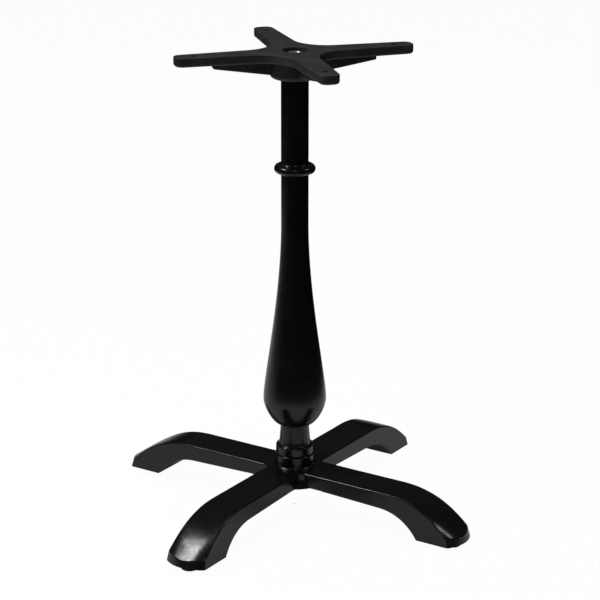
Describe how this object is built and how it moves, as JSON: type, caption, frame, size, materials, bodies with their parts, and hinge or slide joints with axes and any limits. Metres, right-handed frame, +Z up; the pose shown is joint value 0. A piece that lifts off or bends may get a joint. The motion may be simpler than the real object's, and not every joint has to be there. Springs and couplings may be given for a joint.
{
  "type": "pedestal table base",
  "caption": "Black cast-iron pedestal table base: arched spreading legs, turned baluster column and a flat-armed top spider for screwing to a table top.",
  "frame": {"origin": "on the floor, under the column's axis", "axes": "+Z up the column; +X and +Y along two of the legs, so the spider's arms lie between the axes"},
  "size_m": [0.618, 0.618, 0.7316],
  "materials": {
    "black_paint": "gloss enamel on cast iron",
    "matte_black_paint": "matte powder coat on cast iron",
    "zinc_steel": "bright zinc plate",
    "dark_steel": "plain rolled thread",
    "black_plastic": "moulded, matte"
  },
  "bodies": {
    "stand": {"base_casting": "black_paint", "column": "black_paint", "top_spider": "matte_black_paint", "tie_rod": "dark_steel", "upper_washer": "zinc_steel", "upper_nut": "zinc_steel", "lower_washer": "zinc_steel", "lower_nut": "zinc_steel"},
    "glide_right": {"glide_pad_right": "black_plastic", "glide_stud_right": "zinc_steel"},
    "glide_back": {"glide_pad_back": "black_plastic", "glide_stud_back": "zinc_steel"},
    "glide_left": {"glide_pad_left": "black_plastic", "glide_stud_left": "zinc_steel"},
    "glide_front": {"glide_pad_front": "black_plastic", "glide_stud_front": "zinc_steel"}
  },
  "joints": [
    {"name": "glide_right_screw", "type": "slide", "parent": "stand", "child": "glide_right", "axis": [0, 0, -1], "range_m": [0, 0.008]},
    {"name": "glide_back_screw", "type": "slide", "parent": "stand", "child": "glide_back", "axis": [0, 0, -1], "range_m": [0, 0.008]},
    {"name": "glide_left_screw", "type": "slide", "parent": "stand", "child": "glide_left", "axis": [0, 0, -1], "range_m": [0, 0.008]},
    {"name": "glide_front_screw", "type": "slide", "parent": "stand", "child": "glide_front", "axis": [0, 0, -1], "range_m": [0, 0.008]}
  ]
}
